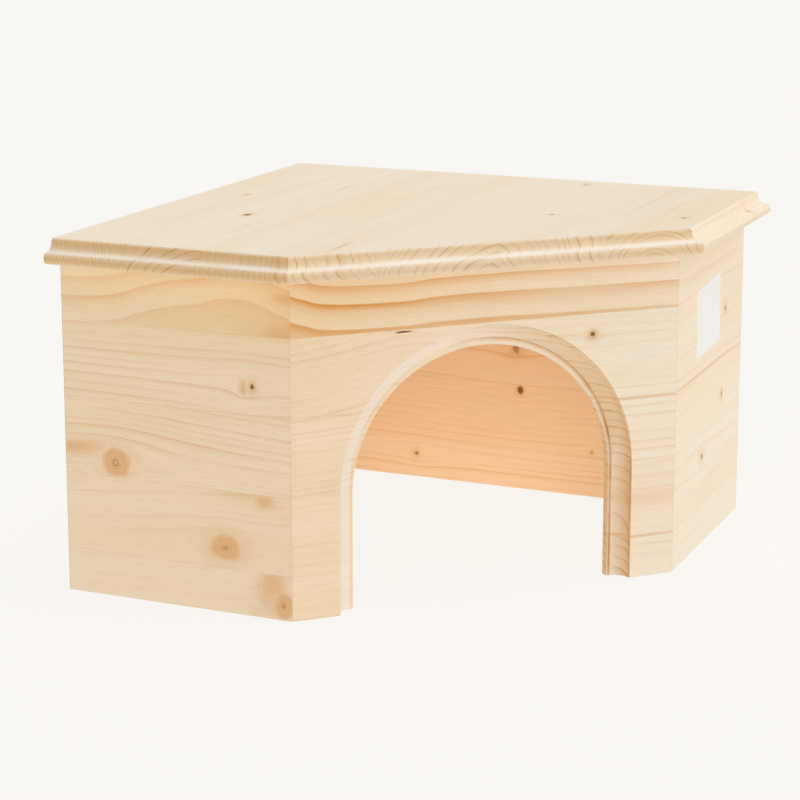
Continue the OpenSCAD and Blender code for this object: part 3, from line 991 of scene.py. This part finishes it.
for count, numbers in enumerate(roof_staves):
    picked = add(t, MATH, (number, count, 0.1), "COMPARE")
    picked = add(t, VECTOR, {0: numbers, "Scale": picked}, "SCALE")
    row = add(t, VECTOR, (row, picked), "ADD")
sunk, aside, ring = add(t, SPLIT, (row,)).node.outputs
# A painted highlight: the upward faces of the step between bead and cove
# turn near white in patches, and hardly at all on the right edge
facing = add(t, COORDINATES, out="Normal")
east, _, up = add(t, SPLIT, (facing,)).node.outputs
shine = add(t, RANGE, (up, *SHINE), **SMOOTH)
uneven = add(t, VECTOR, (place, [1 / s for s in SHINE_PATCH]), "MULTIPLY")
uneven = add(t, NOISE, {"Vector": uneven, "Scale": 1.0, "Detail": 2.0})
uneven = add(t, RANGE, (uneven, 0.35, 0.62, 0.45, 1.0))
below = add(t, MATH, (depth, BEAD_DEEP), "GREATER_THAN")
turned = add(t, RANGE, (east, 0.0, 0.3, 1.0, 0.1))
for factor in (uneven, below, turned):
    shine = add(t, MATH, (shine, factor), "MULTIPLY")
place, disc, mark = with_knots(t, place, roof_knots)
# Little latewood and warmth keep the roof pale, partly as a painted highlight
finish_wood(roof_wood, place, end, seam, disc, mark, {
    **PLAIN, "Late": 0.12, "Sharp": 4.0, "Sway": 1.2, "Fickle": 0.9, "Ring": ring,
    "Burnish": shine, "Seed": add(t, MATH, (number, 7.3), "MULTIPLY"),
    "Pith": add(t, COMBINE, {1: sunk, 2: aside}),
    "Warmth": add(t, MATH, (luck, 0.1), "MULTIPLY")})
print("roof of", len(roof_boxes), "staves", round(stave_wide, 1), "mm wide")

# %% Roof panel: set the sizes, evaluate, keep a plain mesh
SIZES = {"Bead Radius": 4 * MM, "Cove Radius": 6 * MM, "Top Edge Radius": 2 * MM,
         "Steps": 8, "Wood": roof_wood}
roof_mesh.materials.append(roof_wood)
modifier = roof.modifiers.new("moulded edge", "NODES")
modifier.node_group = moulded
for socket in moulded.interface.items_tree:
    if socket.name in SIZES:
        modifier[socket.identifier] = SIZES[socket.name]
evaluated = roof.evaluated_get(bpy.context.evaluated_depsgraph_get())
plain = bpy.data.meshes.new_from_object(evaluated)
roof.modifiers.clear()
roof.data = plain
plain.name = "roof_panel"
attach(roof, "root")
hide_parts(*(f"roof_stave_{number}" for number in range(1, 8)))
bm = bmesh.new()
bm.from_mesh(plain)
print("roof panel:", len(bm.faces), "faces,",
      sum(len(edge.link_faces) != 2 for edge in bm.edges), "open edges,",
      round(bm.calc_volume() / MM ** 3 / 1000), "cm3,", plain.materials[:])
bm.free()

# %% [markdown]
# A small paper label, blank, is stuck on the right wall. Coated paper is
# smoother and whiter than the wood, and so thin that only its rounded edge
# shows. It was put on by hand, so it is a few degrees out of level.

# %% Paper label
LABEL_SIZE = (58 * MM, 49 * MM)
LABEL_THICK = 0.12 * MM
LABEL_ROUND = 2 * MM
LABEL_AT = (74.9 * MM, 165 * MM)
LABEL_TILT = math.radians(4)
CORNER_STEPS = 5
wall = "right_side"
way, out = Vector((*wall_way[wall], 0)), Vector((*wall_out[wall], 0))
origin = Vector((*wall_ends[wall][0], 0)) + way * LABEL_AT[0] + Vector(
    (0, 0, LABEL_AT[1]))
half_wide, half_high = (size / 2 - LABEL_ROUND for size in LABEL_SIZE)
rim = []
for quarter, (side_x, side_y) in enumerate(((1, 1), (-1, 1), (-1, -1), (1, -1))):
    for step in range(CORNER_STEPS + 1):
        angle = math.radians(90 * (quarter + step / CORNER_STEPS))
        x = side_x * half_wide + LABEL_ROUND * math.cos(angle)
        y = side_y * half_high + LABEL_ROUND * math.sin(angle)
        rim.append((x * math.cos(LABEL_TILT) - y * math.sin(LABEL_TILT),
                    x * math.sin(LABEL_TILT) + y * math.cos(LABEL_TILT)))
bm = bmesh.new()
face = bm.faces.new([bm.verts.new(origin + way * x + Vector((0, 0, y)))
                     for x, y in rim])
grown = bmesh.ops.extrude_face_region(bm, geom=[face])
for part in grown["geom"]:
    if isinstance(part, bmesh.types.BMVert):
        part.co += out * LABEL_THICK
bmesh.ops.recalc_face_normals(bm, faces=bm.faces)
label_mesh = bpy.data.meshes.new("paper_label")
bm.to_mesh(label_mesh)
bm.free()
label = bpy.data.objects.new("paper_label", label_mesh)
scene.collection.objects.link(label)
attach(label, "root")
print("label", [round(s / MM) for s in LABEL_SIZE], "mm, turned",
      round(math.degrees(LABEL_TILT)), "degrees")

# %% [markdown]
# Inside the joints, pressed beech biscuits hold the mitres and turned beech
# dowels hold the roof. They keep their CAD shape and get their own wood: beech
# is pinkish and close, with short dark flecks along the grain. The label's
# paper is made in the same way: its pressed fibres give a faint cloudiness and
# a very low bump.

# %% Paper and beech
# Ground and spots, size of the spots in mm, detail of the noise, where spots
# begin and end and their shares there, the same for roughness, bump and mm deep
SPOTTED = {
    "coated label paper": ("#F1F1F2", "#F5F5F6", (3, 3, 3), 3.0, (0, 1, 0, 1),
                           (0.3, 0.7, 0.42, 0.52), 0.1, 0.02),
    "pressed beech": ("#DDB48B", "#A9744A", (0.7, 0.7, 4), 2.0, (0.58, 0.72, 0, 0.7),
                      (0.2, 0.8, 0.6, 0.7), 0.2, 0.05),
}
for name, (ground, spot, size, detail, shares, matt, bumpy, deep) in SPOTTED.items():
    t = emptied(bpy.data.materials.new(name))
    place = add(t, COORDINATES, out="Object")
    place = add(t, VECTOR, (place, [1 / (s * MM) for s in size]), "MULTIPLY")
    spots = add(t, NOISE, {"Vector": place, "Scale": 1.0, "Detail": detail})
    tint = add(t, MIX, {0: add(t, RANGE, (spots, *shares)), 6: linear(ground),
                        7: linear(spot)}, out=2, data_type="RGBA")
    bump = add(t, "ShaderNodeBump", {"Height": spots, "Strength": bumpy,
                                     "Distance": deep * MM})
    add(t, "ShaderNodeOutputMaterial", (add(t, "ShaderNodeBsdfPrincipled", {
        "Base Color": tint, "Roughness": add(t, RANGE, (spots, *matt)),
        "Normal": bump}),))
paper, beech = (bpy.data.materials[name] for name in SPOTTED)
label_mesh.materials.append(paper)
for node in ("mitre_biscuits", "roof_dowels"):
    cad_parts[node].material_slots[0].material = beech
print(paper.name, "on the label,", beech.name, "on biscuits and dowels")
